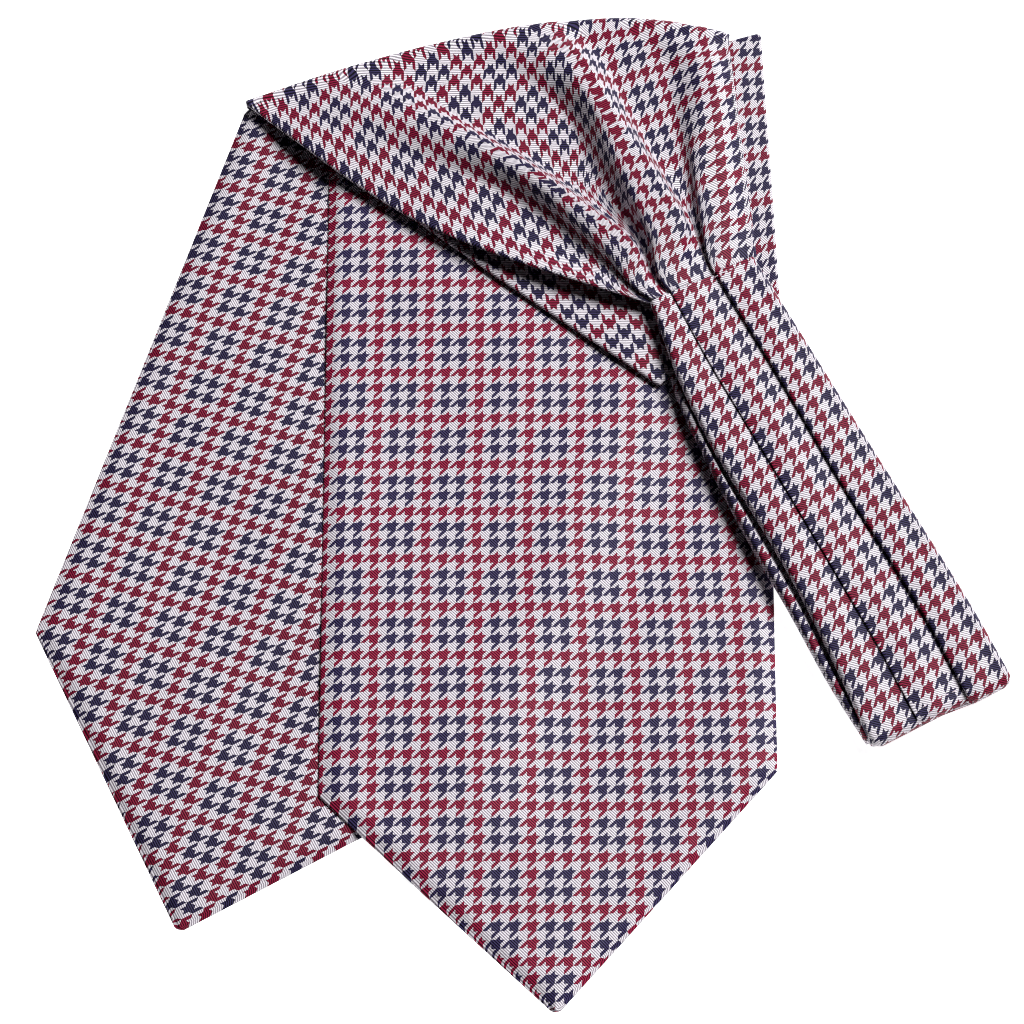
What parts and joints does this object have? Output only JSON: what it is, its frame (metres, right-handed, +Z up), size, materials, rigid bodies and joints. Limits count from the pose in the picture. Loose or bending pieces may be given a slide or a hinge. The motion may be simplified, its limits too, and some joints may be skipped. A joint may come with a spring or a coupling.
{
  "type": "silk cravat",
  "caption": "Self-lined silk cravat with pointed blades and a pleated neckband, folded in half and laid flat.",
  "frame": {"origin": "under the middle of the box, on the surface that the cravat lies on", "axes": "+Z up from the surface, +Y towards the top fold, +X towards the neckband's folded end"},
  "size_m": [0.3361, 0.3731, 0.0184],
  "materials": {
    "silk": "woven silk twill in a small two-colour check, soft sheen"
  },
  "bodies": {
    "root": {"back_blade": "silk", "front_blade": "silk", "inner_gathers": "silk", "outer_gathers": "silk", "neckband_under": "silk", "neckband_pleated": "silk"}
  },
  "joints": []
}
